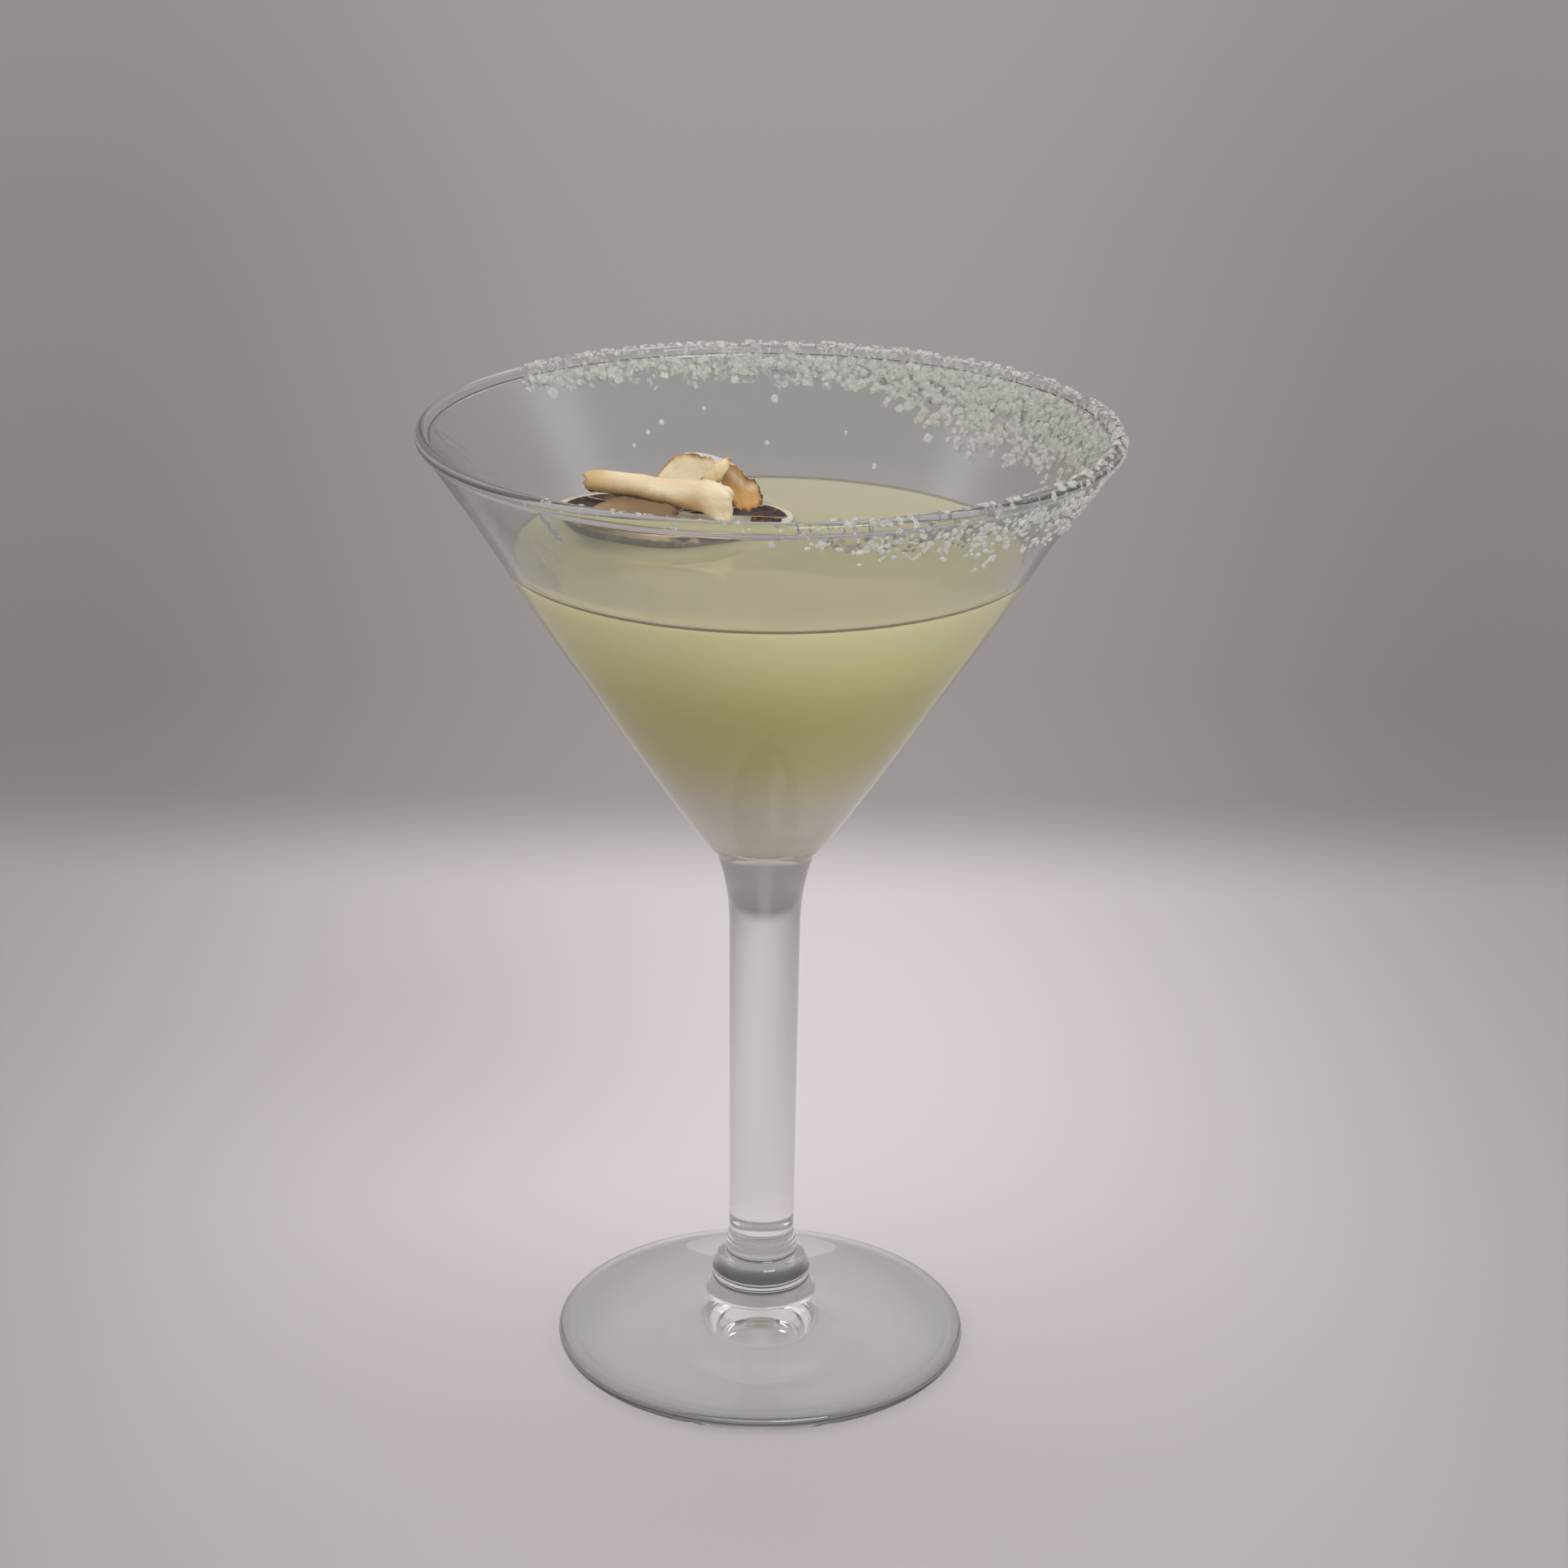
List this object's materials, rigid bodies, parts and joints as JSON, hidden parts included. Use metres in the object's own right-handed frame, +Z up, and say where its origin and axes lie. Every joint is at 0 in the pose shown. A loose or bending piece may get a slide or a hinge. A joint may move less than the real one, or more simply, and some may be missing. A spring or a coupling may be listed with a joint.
{
  "type": "coconut margarita",
  "caption": "Coconut margarita served in a stemmed cocktail glass with a sugared rim, topped with a dried lime wheel and toasted coconut chips.",
  "frame": {"origin": "centre of the foot, on the surface that the glass stands on", "axes": "+Z up along the stem; the front of the drink faces -Y, with the lime wheel towards the back left and the heavy sugar on the right"},
  "size_m": [0.1154, 0.1164, 0.1657],
  "materials": {
    "clear_glass": "clear colourless drinking glass, smooth",
    "cloudy_drink": "cloudy pale yellow-green drink, wet surface",
    "sugar": "coarse white sugar grains stuck on with syrup",
    "dried_lime": "dried lime flesh, dark brown with a pale rind",
    "coconut_pale": "lightly toasted coconut, cream with browned edges",
    "coconut_toasted": "well toasted coconut, tan to brown"
  },
  "bodies": {
    "root": {"glass": "clear_glass", "drink": "cloudy_drink", "sugar_crust": "sugar", "lime_wheel": "dried_lime", "coconut_curl": "coconut_pale", "coconut_back": "coconut_pale", "coconut_fold": "coconut_pale", "coconut_right": "coconut_toasted", "coconut_under": "coconut_toasted"}
  },
  "joints": []
}
